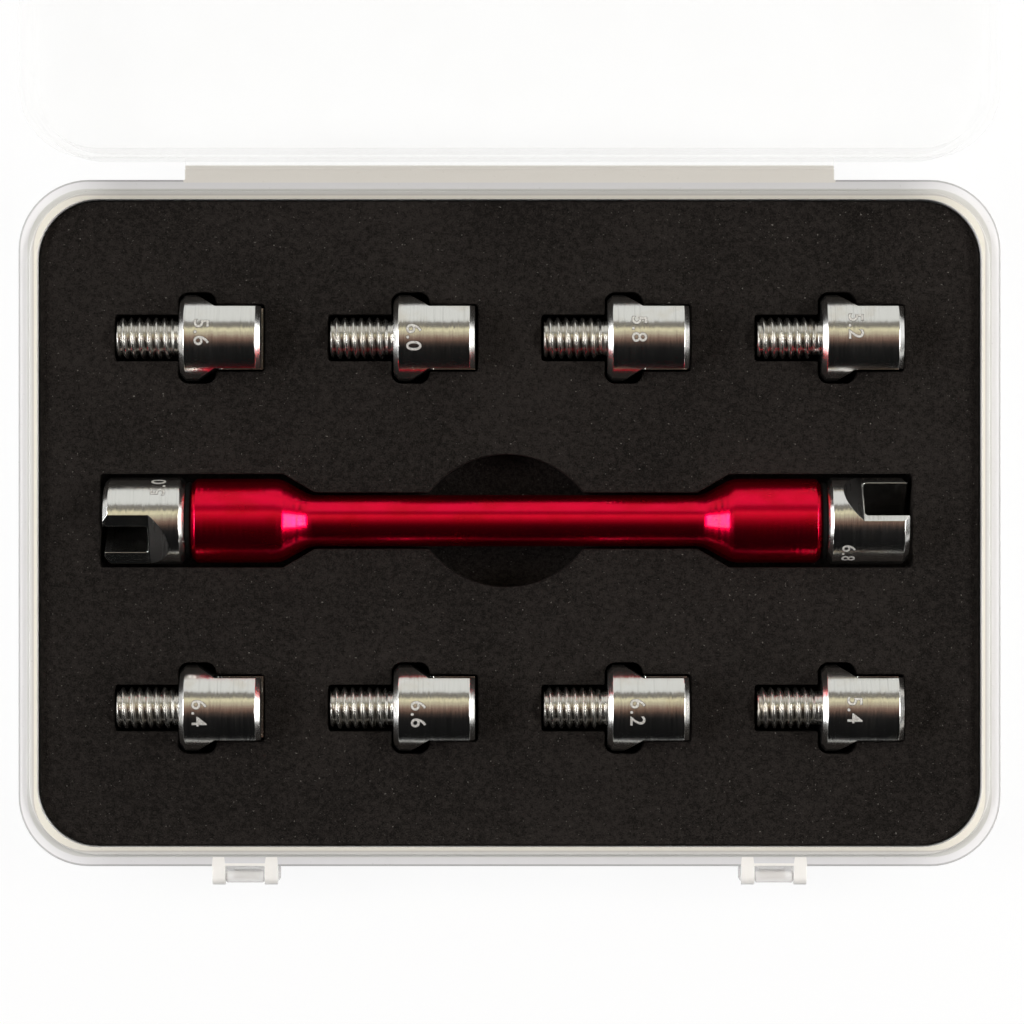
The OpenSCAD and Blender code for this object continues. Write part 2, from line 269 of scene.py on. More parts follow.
    def output(self, shader: Sock, kind: str = "ShaderNodeOutputMaterial") -> None:
        """Ends the tree in this shader."""
        self.node(kind, {}, {"Surface": shader})

    def end(self, sockets: Mapping[str, Any]) -> None:
        """Ends the tree in a Principled shader with these sockets."""
        self.output(self.surface(sockets))


@dataclass(frozen=True)
class Finish:
    """A surface finish, made into one material of its name."""

    name: str

    def material(self) -> bpy.types.Material:
        """The finish's material, made at its first use."""
        found = bpy.data.materials.get(self.name)
        if found is None:
            found = bpy.data.materials.new(self.name)
            found.use_nodes = True
            self.shade(Graph(found.node_tree))
        return found

    def shade(self, graph: Graph) -> None:
        """Fills the material's graph."""
        raise NotImplementedError


@dataclass(frozen=True)
class PlatedSteel(Finish):
    """Bright plated steel with turning marks round the X axis, faint stains, and duller run-outs darkened with a
    painted dark reflection.

    Attributes:
        tint: Colour of the metal.
        gloss: Lowest roughness.
        mark: Turning marks per millimetre.
        mark_depth: Depth of the marks in millimetres.
        chatter: How far tool chatter rocks the surface, in radians.
        milled_and_dark_reflection: Colour of the machined run-outs, darkened to paint the dim surroundings that
            they reflect; they are marked by the attribute of that name.
    """

    tint: Colour = (0.84, 0.84, 0.82)
    gloss: float = 0.09
    mark: float = 4.2
    mark_depth: float = 0.003
    chatter: float = 0.12
    milled_and_dark_reflection: Colour = (0.16, 0.155, 0.15)

    def shade(self, graph: Graph) -> None:
        """Marks dull the metal and lean it along X, chatter rocks it round X, and stains warm it a little."""
        # The run-outs' mask: a real duller finish in the roughness, and a dark base colour that is a painted
        # reflection of the dim surroundings.
        milled_and_dark_reflection = graph.node("ShaderNodeAttribute", {"attribute_name": "milled_and_dark_reflection"}, {}, "Fac")
        along = self.mark / MM
        marks = graph.noise((along, 90.0, 90.0), 3.0, 0.6)
        rocking = graph.noise((along, 330.0, 330.0), 2.0, 0.6)
        stains = graph.noise(260.0, 3.0)
        facing = graph.node("ShaderNodeNewGeometry", {}, {}, "Normal")
        round_x = graph.vector("CROSS_PRODUCT", (1.0, 0.0, 0.0), facing)
        rocked = graph.vector("ADD", facing, graph.scaled(round_x, self.chatter * (rocking - 0.5)))
        leaning = graph.vector("NORMALIZE", rocked)
        colour = graph.mix(stains.smooth(0.5, 0.75) * 0.35, self.tint, (0.74, 0.66, 0.54))
        turned = graph.mix(marks.smooth(0.5, 0.8) * 0.3, colour, (0.5, 0.49, 0.46))
        graph.end(
            {
                "Base Color": graph.mix(milled_and_dark_reflection, turned, self.milled_and_dark_reflection),
                "Metallic": 1.0,
                "Roughness": self.gloss + 0.14 * marks + 0.05 * stains + 0.1 * milled_and_dark_reflection,
                "Normal": graph.bump(marks, self.mark_depth, leaning),
            }
        )


@dataclass(frozen=True)
class AnodisedRed(Finish):
    """Turned aluminium dyed red, with slow tool waves and a thin clear skin.

    Attributes:
        tint: Colour of the dyed metal.
        deep: Colour where the dye took more.
        ripples: Lengths of two slow waves of the turning tool in millimetres.
        ripple_depth: Depth of the waves in millimetres.
    """

    tint: Colour = (0.92, 0.001, 0.046)
    deep: Colour = (0.77, 0.001, 0.026)
    ripples: tuple[float, float] = (1.2, 0.85)
    ripple_depth: float = 0.022

    def shade(self, graph: Graph) -> None:
        """Waves lean the surface along X; the dye's depth and the polish drift slowly."""
        first, second = ((graph.axis("X") * (2.0 * math.pi / length)).sine() for length in self.ripples)
        waves = 0.5 + 0.25 * (first + second)
        drift = graph.noise((180.0, 300.0, 300.0), 3.0)
        graph.end(
            {
                "Base Color": graph.mix(drift.smooth(0.35, 0.7), self.tint, self.deep),
                "Metallic": 1.0,
                "Roughness": 0.22 + 0.08 * drift,
                "Coat Weight": 0.13 + 0.05 * drift,
                "Coat Roughness": 0.1,
                "Specular Tint": (0.9, 0.1, 0.15, 1.0),
                "Normal": graph.bump(waves, self.ripple_depth),
            }
        )


@dataclass(frozen=True)
class SealRubber(Finish):
    """Black moulded rubber with a fine grain and rubbed grey patches."""

    tint: Colour = (0.0022, 0.0022, 0.0022)
    worn: Colour = (0.006, 0.0057, 0.0054)

    def shade(self, graph: Graph) -> None:
        """Grain roughens the surface; slow noise greys it."""
        grain = graph.noise(9000.0)
        rubbed = graph.noise(900.0, 3.0)
        graph.end(
            {
                "Base Color": graph.mix(rubbed.smooth(0.45, 0.7), self.tint, self.worn),
                "Roughness": 0.55 + 0.2 * grain,
                "Specular IOR Level": 0.12,
                "Normal": graph.bump(grain, 0.02),
            }
        )


@dataclass(frozen=True)
class BlackFoam(Finish):
    """Closed-cell foam: a fine pore grain, slow tone drift and a few pale specks of dust."""

    tint: Colour = (0.0066, 0.0056, 0.0050)
    pale: Colour = (0.0228, 0.0194, 0.0175)
    dust: Colour = (0.13, 0.12, 0.11)

    def shade(self, graph: Graph) -> None:
        """Two sizes of pores give height and tone; thresholded noise gives the specks."""
        pores = graph.noise(4200.0, 3.0, 0.6)
        cells = graph.noise(1500.0)
        drift = graph.noise(55.0)
        specks = graph.noise(2600.0, 1.0).smooth(0.72, 0.82)
        grain = (0.5 * pores + 0.35 * cells + 0.15 * drift).smooth(0.38, 0.62)
        colour = graph.mix(grain, self.tint, self.pale)
        graph.end(
            {
                "Base Color": graph.mix(specks, colour, self.dust),
                "Roughness": 0.86 + 0.12 * pores,
                "Specular IOR Level": 0.06,
                "Normal": graph.bump(0.7 * pores + 0.3 * cells, 0.22),
            }
        )


@dataclass(frozen=True)
class CasePlastic(Finish):
    """Translucent moulded plastic with a faint grain and cloudy patches.

    Attributes:
        tint: Colour of the plastic.
        cloud: Colour of its cloudy patches.
        clear: Share of the light that passes straight.
        milk: Share of the rest that spreads inside.
        gloss: Lowest roughness.
    """

    tint: Colour = (0.90, 0.905, 0.90)
    cloud: Colour = (0.86, 0.85, 0.83)
    clear: float = 0.03
    milk: float = 0.25
    gloss: float = 0.24

    def colour(self, graph: Graph) -> Sock:
        """Plain plastic with slow clouds."""
        clouds = graph.noise(70.0, 3.0)
        return graph.mix(clouds.smooth(0.35, 0.7), self.tint, self.cloud)

    def shade(self, graph: Graph) -> None:
        """A fine moulding grain dulls and ripples the coloured plastic."""
        grain = graph.noise(2200.0)
        graph.end(
            {
                "Base Color": self.colour(graph),
                "Roughness": self.gloss + 0.12 * grain,
                "IOR": 1.49,
                "Transmission Weight": self.clear,
                "Subsurface Weight": self.milk,
                "Subsurface Radius": (1.0, 1.0, 1.0),
                "Subsurface Scale": 0.0006,
                "Normal": graph.bump(grain, 0.01),
            }
        )


@dataclass(frozen=True)
class RimPlastic(CasePlastic):
    """Plastic of the tray, whose rim is painted in bands of light and shade: the glow of light that runs in its
    walls and the shade at its edges and step.

    Attributes:
        half: Half the tray's length and width.
        corner: Radius of its corners.
        bands: Depth from the outside and colour of the rim's bands of painted light and shade: a painted shade line
            at the outer edge, a painted glow, painted shade lines at the step and a painted warm reflection by the
            foam.
        back: Brightness of the bands on the hinge side, painted shade where no lamp shines.
        front: Brightness of the bands on the latch side, painted shade where no lamp shines.
        hinge: Colour of the hinge strip, painted in shade.
        lug: Colour of the lugs at the latches, painted light.
        strip_half: Half the hinge strip's length.
        latch_x: Distance of the latches from the middle.
        span: Least and greatest depth that the colour ramp covers.
        reach: How far the strip, a lug's arms and the plate between them run over the rim.
        arm: Where a lug's arms start and end, from the latch's middle.
        blur: Length over which these colours meet.
    """

    half: tuple[float, float] = (75.0, 52.4)
    corner: float = 10.8
    bands: tuple[tuple[float, Colour], ...] = (
        (0.0, (0.56, 0.56, 0.57)),
        (0.22, (0.56, 0.56, 0.57)),
        (0.36, (0.94, 0.94, 0.97)),
        (1.3, (0.93, 0.93, 0.95)),
        (1.45, (0.76, 0.765, 0.745)),
        (2.2, (0.75, 0.745, 0.725)),
        (2.3, (0.66, 0.635, 0.61)),
        (2.4, (0.66, 0.635, 0.61)),
        (2.5, (0.89, 0.86, 0.775)),
        (3.4, (0.89, 0.86, 0.775)),
    )
    back: float = 0.61
    front: float = 0.80
    hinge: Colour = (0.63, 0.61, 0.575)
    lug: Colour = (0.96, 0.94, 0.91)
    strip_half: float = 49.7
    latch_x: float = 40.4
    span: tuple[float, float] = (-1.0, 4.0)
    reach: tuple[float, float, float] = (0.5, 1.45, 0.5)
    arm: tuple[float, float] = (3.0, 4.9)
    blur: float = 0.2

    def overlap(self, graph: Graph) -> Sock:
        """How far the hinge strip, the lugs and the plate between them run over the rim, in millimetres."""
        x = graph.axis("X").size()
        behind = graph.axis("Y").smooth(-1.0, 1.0)
        over_strip, over_arm, over_plate = self.reach
        strip = over_strip * (1.0 - x.smooth(self.strip_half, self.strip_half + self.blur))
        off = (x - self.latch_x).size()
        past_start, past_end = (off.smooth(at, at + self.blur) for at in self.arm)
        arm = over_arm * (past_start - past_end)
        plate = over_plate * (1.0 - past_start)
        return behind * strip + (1.0 - behind) * (arm + plate)

    def colour(self, graph: Graph) -> Sock:
        """Painted light and shade on faces that look up: bands by depth inside the outline, painted shade on the
        hinge and latch sides, painted light towards the ends, the hinge strip in painted shade and the lugs in
        painted light; plain plastic elsewhere.
        """
        # Bands of painted light and shade by depth from the outline: a shaded outer edge, a glow, shaded step lines
        # and a warm reflection by the foam.
        depth = graph.inset(self.half, self.corner)
        low, high = self.span
        stops = [((at - low) / (high - low), colour) for at, colour in self.bands]
        bands = graph.node("ShaderNodeValToRGB", {"stops": stops}, {"Fac": (depth - low) * (1.0 / (high - low))})
        # Painted shade darkens the bands on the hinge and latch sides, and painted light brings them back up
        # towards the ends, where the side lamps shine.
        y = graph.axis("Y")
        sides = self.front + (self.back - self.front) * y.smooth(-40.0, 40.0)
        ends = graph.axis("X").size().smooth(58.0, 73.0)
        rim = graph.scaled(bands, sides + ends * (1.0 - sides))
        # Beyond the outline and where the strip, lugs and plate run over the rim: painted shade on the hinge side
        # and painted light on the latch side.
        outside = graph.mix(y.smooth(-1.0, 1.0), self.lug, self.hinge)
        top = graph.mix((depth - self.overlap(graph)).smooth(-0.12, -0.02), outside, rim)
        facing = graph.node("ShaderNodeNewGeometry", {}, {}, "Normal")
        up = graph.node("ShaderNodeSeparateXYZ", {}, {0: facing}, "Z")
        return graph.mix(up.smooth(0.35, 0.75), super().colour(graph), top)


@dataclass(frozen=True)
class ClearPlastic(Finish):
    """Thin clear plastic that shows most where it is seen on edge.

    Attributes:
        tint: Colour of its haze.
        haze: Share of the haze seen square on.
        rim: Share added where it is seen at a slant.
        gloss: Lowest roughness.
    """

    tint: Colour = (0.95, 0.96, 0.96)
    haze: float = 0.1
    rim: float = 0.2
    gloss: float = 0.1

    def shade(self, graph: Graph) -> None:
        """Slow clouds and the slant thicken the haze; a fine grain dulls it."""
        clouds = graph.noise(70.0, 3.0)
        grain = graph.noise(2200.0)
        slant = graph.node("ShaderNodeLayerWeight", {}, {"Blend": 0.3}, "Facing")
        graph.end(
            {
                "Base Color": graph.mix(clouds.smooth(0.35, 0.7), self.tint, (0.92, 0.92, 0.91)),
                "Roughness": self.gloss + 0.12 * grain,
                "IOR": 1.49,
                "Alpha": self.haze * (0.8 + 0.4 * clouds) + self.rim * slant,
                "Normal": graph.bump(grain, 0.01),
            }
        )


@dataclass(frozen=True)
class EtchedMark(Finish):
    """Frosted metal of the stamped size numbers."""

    tint: Colour = (0.88, 0.87, 0.84)
    dark: Colour = (0.42, 0.40, 0.37)

    def shade(self, graph: Graph) -> None:
        """A coarse grain mixes light and dark metal."""
        grain = graph.noise(7000.0)
        graph.end(
            {
                "Base Color": graph.mix(grain.smooth(0.3, 0.7), self.dark, self.tint),
                "Metallic": 0.35,
                "Roughness": 0.42 + 0.2 * grain,
                "Normal": graph.bump(grain, 0.01),
            }
        )


@dataclass(frozen=True)
class FloorPaper(Finish):
    """White studio paper that stays near white to the eye and keeps soft shadows.

    Attributes:
        tint: Colour of the paper.
        lift: Share of plain white shown to the camera and through plastic.
        front: Brightness in reflections in front of the set.
        beside: Brightness in reflections beyond its front corners.
        back: Brightness in reflections behind the set.
    """

    tint: Colour = (0.93, 0.93, 0.93)
    lift: float = 0.9
    front: float = 0.3
    beside: float = 0.04
    back: float = 0.8

    def shade(self, graph: Graph) -> None:
        """Mixes lit paper with plain white for the eye and with a softer white for reflections."""
        fibres = graph.noise(900.0, 3.0)
        paper = graph.surface(
            {
                "Base Color": graph.mix(0.04 * fibres, self.tint, (0.86, 0.86, 0.87)),
                "Roughness": 0.8,
                "Specular IOR Level": 0.0,
            }
        )
        white = graph.node("ShaderNodeEmission", {}, {"Color": (1.0, 1.0, 1.0, 1.0), "Strength": 1.0})
        eye = graph.node("ShaderNodeLightPath", {}, {}, "Is Camera Ray")
        glossy = graph.node("ShaderNodeLightPath", {}, {}, "Is Glossy Ray")
        through = graph.node("ShaderNodeLightPath", {}, {}, "Is Transmission Ray")
        seen = graph.node("ShaderNodeMixShader", {}, {0: self.lift * eye.most(through), 1: paper, 2: white})
        ahead = graph.mix(graph.axis("X").size().smooth(90.0, 130.0), (self.front,) * 3, (self.beside,) * 3)
        soft = graph.mix(graph.axis("Y").smooth(-20.0, 60.0), ahead, (self.back,) * 3)
        mirrored = graph.node("ShaderNodeEmission", {}, {"Color": soft, "Strength": 1.0})
        graph.output(graph.node("ShaderNodeMixShader", {}, {0: glossy, 1: seen, 2: mirrored}))


CHROME = PlatedSteel("bright_plate")
STUD_STEEL = PlatedSteel("stud_plate", tint=(0.74, 0.72, 0.68), gloss=0.16, mark_depth=0.002)
RED = AnodisedRed("red_anodised_aluminium")
RUBBER = SealRubber("black_rubber")
FOAM = BlackFoam("black_foam")
MILKY = RimPlastic("milky_plastic")
LID_CLEAR = ClearPlastic("clear_lid_plastic", haze=0.07, rim=0.14)
LATCH_CLEAR = ClearPlastic("clear_latch_plastic", tint=(0.97, 0.94, 0.92), haze=0.42, rim=0.06)
MARK = EtchedMark("etched_number")
# A dark copy of the etched finish, laid round the digits as painted shade where the walls of stamped digits would
# lie in shade.
STROKE_SHADE = EtchedMark("number_painted_shade", tint=(0.10, 0.095, 0.09), dark=(0.03, 0.028, 0.026))
PAPER = FloorPaper("studio_paper")


@dataclass
class Surface:
    """A mesh in millimetres.

    Attributes:
        points: Vertices, n by 3.
        faces: Vertex numbers of each face, counter-clockwise seen from outside.
    """

    points: np.ndarray
    faces: list[list[int]]


def grid_faces(rows: int, columns: int) -> np.ndarray:
    """Quads of a grid whose columns close on themselves.

    Args:
        rows: Number of rows.
        columns: Number of columns.

    Returns:
        Vertex numbers, four to a row.
    """
    row, column = np.meshgrid(np.arange(rows - 1), np.arange(columns), indexing="ij")
    after = (column + 1) % columns
    low, high = row * columns, (row + 1) * columns
    return np.stack([low + column, low + after, high + after, high + column], -1).reshape(-1, 4)


def lathe(
    along: np.ndarray, radius: np.ndarray, ends: Optional[tuple[float, float]] = None, ring: bool = False
) -> Surface:
    """Surface of revolution about X.

    A profile point (x, r) at turn t lies at (x, r cos t, r sin t). The radius may be a grid of profile points by
    turns. A solid bar's ends close in a pole each; a ring's profile closes on itself. The profile runs towards +X
    on the outside.

    Args:
        along: The profile's x values.
        radius: The profile's radii, or a grid of radii by turn.
        ends: Places of the two poles on the axis, else the profile's own ends.
        ring: Whether the profile closes on itself instead of ending in poles.

    Returns:
        The closed surface.
    """
    turns = radius.shape[1] if radius.ndim == 2 else TURNS
    turn = np.linspace(0.0, 2.0 * math.pi, turns, endpoint=False)
    spread = radius if radius.ndim == 2 else np.repeat(radius[:, None], turns, 1)
    x = np.repeat(along[:, None], turns, 1)
    if ring:
        x, spread = np.vstack([x, x[:1]]), np.vstack([spread, spread[:1]])
    points = np.stack([x, spread * np.cos(turn), spread * np.sin(turn)], -1).reshape(-1, 3)
    quads = grid_faces(len(x), turns)
    if ring:
        used = len(points) - turns
        return Surface(points[:used], (quads % used).tolist())
    first, last = len(points), len(points) + 1
    from_x, to_x = ends or (along[0], along[-1])
    poles = np.array([[from_x, 0.0, 0.0], [to_x, 0.0, 0.0]])
    here = np.arange(turns)
    after = (here + 1) % turns
    end = (len(x) - 1) * turns
    start_cap = np.stack([np.full(turns, first), after, here], -1)
    end_cap = np.stack([np.full(turns, last), end + here, end + after], -1)
    faces = quads.tolist() + start_cap.tolist() + end_cap.tolist()
    return Surface(np.vstack([points, poles]), faces)


def rounded(corners: np.ndarray, cut: np.ndarray, steps: int = 8) -> np.ndarray:
    """Polyline with rounded corners.

    Each inner corner B gets points (1 - t)^2 A + 2 t (1 - t) B + t^2 C for t from 0 to 1, where A and C lie on its
    two legs at the corner's cut, or at LEG_SHARE of a shorter leg.

    Args:
        corners: Corner points, n by 2.
        cut: Cut length at each inner corner, n - 2 values.
        steps: Points at each corner, less one.

    Returns:
        The points of the rounded line.
    """
    middle = corners[1:-1]
    back, ahead = corners[:-2] - middle, corners[2:] - middle
    back_l = np.linalg.norm(back, axis=1)
    ahead_l = np.linalg.norm(ahead, axis=1)
    reach = np.minimum(cut, LEG_SHARE * np.minimum(back_l, ahead_l))
    first = middle + back * (reach / back_l)[:, None]
    last = middle + ahead * (reach / ahead_l)[:, None]
    t = np.linspace(0.0, 1.0, steps + 1)[None, :, None]
    curve = (1 - t) ** 2 * first[:, None] + 2 * t * (1 - t) * middle[:, None] + t**2 * last[:, None]
    return np.vstack([corners[:1], curve.reshape(-1, 2), corners[-1:]])


def mesh_of(name: str, surface: Surface) -> bpy.types.Mesh:
    """Blender mesh of a surface, in metres."""
    mesh = bpy.data.meshes.new(name)
    mesh.from_pydata((surface.points * MM).tolist(), [], surface.faces)
    return mesh


def smooth_by_angle(mesh: bpy.types.Mesh, angle: float) -> None:
    """Shades a mesh smooth and keeps edges sharper than an angle.

    Args:
        mesh: The mesh.
        angle: Limit in degrees.
    """
    mesh.shade_smooth()
    mesh.set_sharp_from_angle(angle=math.radians(angle))
    mesh.validate()
    mesh.update()


def linked(name: str, data: bpy.types.ID) -> bpy.types.Object:
    """New object of some data, linked to the scene."""
    made = bpy.data.objects.new(name, data)
    bpy.context.scene.collection.objects.link(made)
    return made


@dataclass
class Dressing:
    """How a finished piece is dressed and where it rides.

    Attributes:
        body: CAD body that it rides on.
        finish: Its finish.
        slot: Name of a material slot; not used.
        replaces: CAD nodes that it stands for.
    """

    body: str
    finish: Finish
    slot: str
    replaces: tuple[str, ...] = ()

    def put(self, name: str, mesh: bpy.types.Mesh) -> bpy.types.Object:
        """Makes the piece, dresses it and ties it to its body.

        Args:
            name: The piece's name.
            mesh: Its mesh, in place.

        Returns:
            The piece.
        """
        piece = linked(name, mesh)
        mesh.materials.clear()
        mesh.materials.append(self.finish.material())
        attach(piece, self.body)
        if self.replaces:
            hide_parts(*self.replaces)
        LOG.info("%s rides on %s", name, self.body)
        return piece


def merge(copy: bmesh.types.BMesh, join: float, flat: float) -> None:
    """Joins a mesh's points within a distance in millimetres and its faces within an angle in degrees."""
    bmesh.ops.remove_doubles(copy, verts=copy.verts[:], dist=join * MM)
    bmesh.ops.dissolve_limit(copy, angle_limit=math.radians(flat), verts=copy.verts[:], edges=copy.edges[:])


def node_copy(node: str) -> bmesh.types.BMesh:
    """Merged copy of a CAD node's mesh: curved strips become quads and flat faces are cut into triangles anew."""
    copy = bmesh.new()
    copy.from_mesh(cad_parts[node].data)
    merge(copy, CAD_JOIN, CAD_FLAT)
    bmesh.ops.triangulate(copy, faces=[face for face in copy.faces if len(face.verts) > 4])
    return copy


def mesh_from(copy: bmesh.types.BMesh, name: str) -> bpy.types.Mesh:
    """Plain smooth mesh of an edited copy, which is freed."""
    mesh = bpy.data.meshes.new(name)
    copy.to_mesh(mesh)
    copy.free()
    for attribute in ("custom_normal", "sharp_face", "sharp_edge"):
        found = mesh.attributes.get(attribute)
        if found is not None:
            mesh.attributes.remove(found)
    mesh.shade_smooth()
    return mesh


def soften(piece: bpy.types.Object, width: float, steps: int = 2, angle: float = 28.0) -> None:
    """Rounds a piece's sharp edges with a Bevel modifier.

    Args:
        piece: The piece.
        width: Width of the rounding in millimetres.
        steps: Number of segments.
        angle: Edges sharper than this many degrees are rounded.
    """
    bevel = piece.modifiers.new("rounded_edges", "BEVEL")
    bevel.width = width * MM
    bevel.segments = steps
    bevel.limit_method = "ANGLE"
    bevel.angle_limit = math.radians(angle)
    bevel.use_clamp_overlap = False
    bevel.loop_slide = False
    bevel.harden_normals = True
    bevel.miter_outer = "MITER_ARC"


@dataclass
class Case:
    """Hinged case: tray, lid, two latches and the thin web of the hinge.

    Attributes:
        edge: Rounding of the moulded edges.
        hinge_y: Place of the fold line.
        hinge_top: Height of the strip's top face.
        web_l: Length of the web along the fold.
        web_half: Its reach to each side of the fold line.
        web_t: Its thickness.
        web_inset: How far it lies inside the strip's faces.
        web_cells: Points along it and round its section.
        web_power: Power that rounds its section; less is squarer.
    """

    edge: float = 0.1
    hinge_y: float = 54.1
    hinge_top: float = 12.95
    web_l: float = 99.0
    web_half: float = 0.5
    web_t: float = 0.3
    web_inset: float = 0.02
    web_cells: tuple[int, int] = (24, 48)
    web_power: float = 0.25

    def moulding(self, node: str, body: str, finish: Finish) -> None:
        """Puts a moulded part with rounded edges in its CAD node's place.

        Args:
            node: CAD node, whose name with a suffix is the piece's.
            body: Body that it rides on.
            finish: Its finish.
        """
        name = f"{node}_moulding"
        dress = Dressing(body, finish, "clear_case", (node,))
        soften(dress.put(name, mesh_from(node_copy(node), name)), self.edge)

    def web(self) -> None:
        """Thin plate over the fold line.

        Its section is a rounded rectangle, walked round once by t and carried straight along X: from its middle, y
        goes with sign(cos t) |cos t|^p and z with sign(sin t) |sin t|^p.
        """
        walk = np.linspace(0.0, 2.0 * math.pi, self.web_cells[1], endpoint=False)
        across = np.sign(np.cos(walk)) * np.abs(np.cos(walk)) ** self.web_power
        up = np.sign(np.sin(walk)) * np.abs(np.sin(walk)) ** self.web_power
        y = self.hinge_y + self.web_half * across
        z = self.hinge_top - self.web_t / 2.0 + (self.web_t / 2.0 - self.web_inset) * up
        x = np.linspace(-self.web_l / 2.0, self.web_l / 2.0, self.web_cells[0])
        points = np.stack(
            [np.repeat(x[:, None], len(walk), 1), np.tile(y, (len(x), 1)), np.tile(z, (len(x), 1))], -1
        ).reshape(-1, 3)
        faces = grid_faces(len(x), len(walk)).tolist()
        ends = [list(range(len(walk)))[::-1], list(range(len(points) - len(walk), len(points)))]
        mesh = mesh_of("hinge_web", Surface(points, faces + ends))
        smooth_by_angle(mesh, 40.0)
        mesh.materials.append(MILKY.material())
        web = linked("hinge_web", mesh)
        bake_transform(web)
        LOG.info("hinge_web bends between case and case_lid")

    def build(self) -> None:
        """Makes every moulded part of the case."""
        self.moulding("tray", "case", MILKY)
        self.moulding("lid", "case_lid", LID_CLEAR)
        self.moulding("latch_left", "left_latch", LATCH_CLEAR)
        self.moulding("latch_right", "right_latch", LATCH_CLEAR)
        self.web()


@dataclass
class FoamBed:
    """Die-cut foam layer on a plain foam sheet.

    Attributes:
        edge: Rounding of the cut edges.
        fill: How full the foam is; not used.
    """

    edge: float = 0.2
    fill: float = 1.0

    def layer(self, node: str) -> None:
        """Puts a foam layer with soft edges in its CAD node's place."""
        name = f"{node}_layer"
        piece = Dressing("case", FOAM, "foam", (node,)).put(name, mesh_from(node_copy(node), name))
        soften(piece, self.edge, 3, 40.0)

    def build(self) -> None:
        """Makes both layers."""
        self.layer("foam_sheet")
        self.layer("foam_insert")


@dataclass
class Wrench:
    """Waisted handle and the two rubber rings on its ends.

    Attributes:
        centre: The handle's middle.
        length: Its length.
        grip_r: Radius of the thick ends.
        grip_l: Length of each thick end.
        taper_l: Length of each taper.
        waist_r: Radius of the waist.
        edge: End chamfers.
        hole_r: Radius of the holes in the ends.
        hole_l: Depth of the holes.
        mouth: Chamfer of the holes.
        cuts: Rounding at each inner corner of the handle's profile, from the hole to the waist.
        ring_r: Outer radius of the rings.
        ring_bore: Bore radius of the rings.
        ring_t: Thickness of the rings.
        ring_edge: Chamfer of their bores.
        ring_steps: Points round their rims.
    """

    centre: Vector = field(default_factory=lambda: Vector((-0.5, 0.35, 11.1)))
    length: float = 96.0
    grip_r: float = 6.4
    grip_l: float = 13.5
    taper_l: float = 4.6
    waist_r: float = 3.9
    edge: float = 0.7
    hole_r: float = 3.225
    hole_l: float = 9.8
    mouth: float = 0.4
    cuts: tuple[float, ...] = (0.1, 0.08, 0.08, 0.14, 0.14, 1.0, 1.0)
    ring_r: float = 5.9
    ring_bore: float = 3.3
    ring_t: float = 0.9
    ring_edge: float = 0.05
    ring_steps: int = 17

    def handle(self) -> None:
        """Turned bar: half a profile from the hole's point to the middle, mirrored and spun about X."""
        half = self.length / 2.0
        corners = np.array(
            [
                [half - self.hole_l - self.hole_r / 2.0, 0.0],
                [half - self.hole_l, self.hole_r],
                [half - self.mouth, self.hole_r],
                [half, self.hole_r + self.mouth],
                [half, self.grip_r - self.edge],
                [half - self.edge, self.grip_r],
                [half - self.grip_l, self.grip_r],
                [half - self.grip_l - self.taper_l, self.waist_r],
                [0.0, self.waist_r],
            ]
        )
        right = rounded(corners, np.array(self.cuts))
        left = right[:-1] * np.array([-1.0, 1.0])
        line = np.vstack([left, right[::-1]])
        bar = lathe(line[1:-1, 0], line[1:-1, 1], (line[0, 0], line[-1, 0]))
        bar.points += np.array(self.centre)
        mesh = mesh_of("handle_bar", bar)
        smooth_by_angle(mesh, 35.0)
        Dressing("wrench", RED, "red_anodised", ("handle",)).put("handle_bar", mesh)

    def ring(self, side: int) -> None:
        """Rubber ring: a flat section with a round rim, spun about X.

        Args:
            side: -1 for the left end, 1 for the right.
        """
        name = "ring_left" if side < 0 else "ring_right"
        round_r = self.ring_t / 2.0
        lean = np.linspace(-math.pi / 2.0, math.pi / 2.0, self.ring_steps)
        x = np.concatenate([round_r + round_r * np.sin(lean), [self.ring_t - self.ring_edge, self.ring_edge]])
        r = np.concatenate(
            [self.ring_r - round_r + round_r * np.cos(lean), [self.ring_bore, self.ring_bore]]
        )
        shape = lathe(x, r, ring=True)
        shape.points[:, 0] = side * (self.length / 2.0 + shape.points[:, 0])
        if side < 0:
            shape.faces = [face[::-1] for face in shape.faces]
        shape.points += np.array(self.centre)
        mesh = mesh_of(f"{name}_seal", shape)
        smooth_by_angle(mesh, 50.0)
        body = "left_ring" if side < 0 else "right_ring"
        Dressing(body, RUBBER, "rubber", (name,)).put(f"{name}_seal", mesh)

    def build(self) -> None:
        """Makes the handle and both rings."""
        self.handle()
        self.ring(-1)
        self.ring(1)


class Facing(Enum):
    """The way that a tip's jaw points along X."""

    LEFT = -1
    RIGHT = 1


@dataclass
class Mark:
    """A stamped size number.

    Attributes:
        text: The jaw's width.
        base: Distance of the digits' feet from the collar's rear face.
        turn: Place round the head, in degrees from the top towards +Y.
        height: Height of the digits.
    """

    text: str
    base: float
    turn: float
    height: float = 2.35


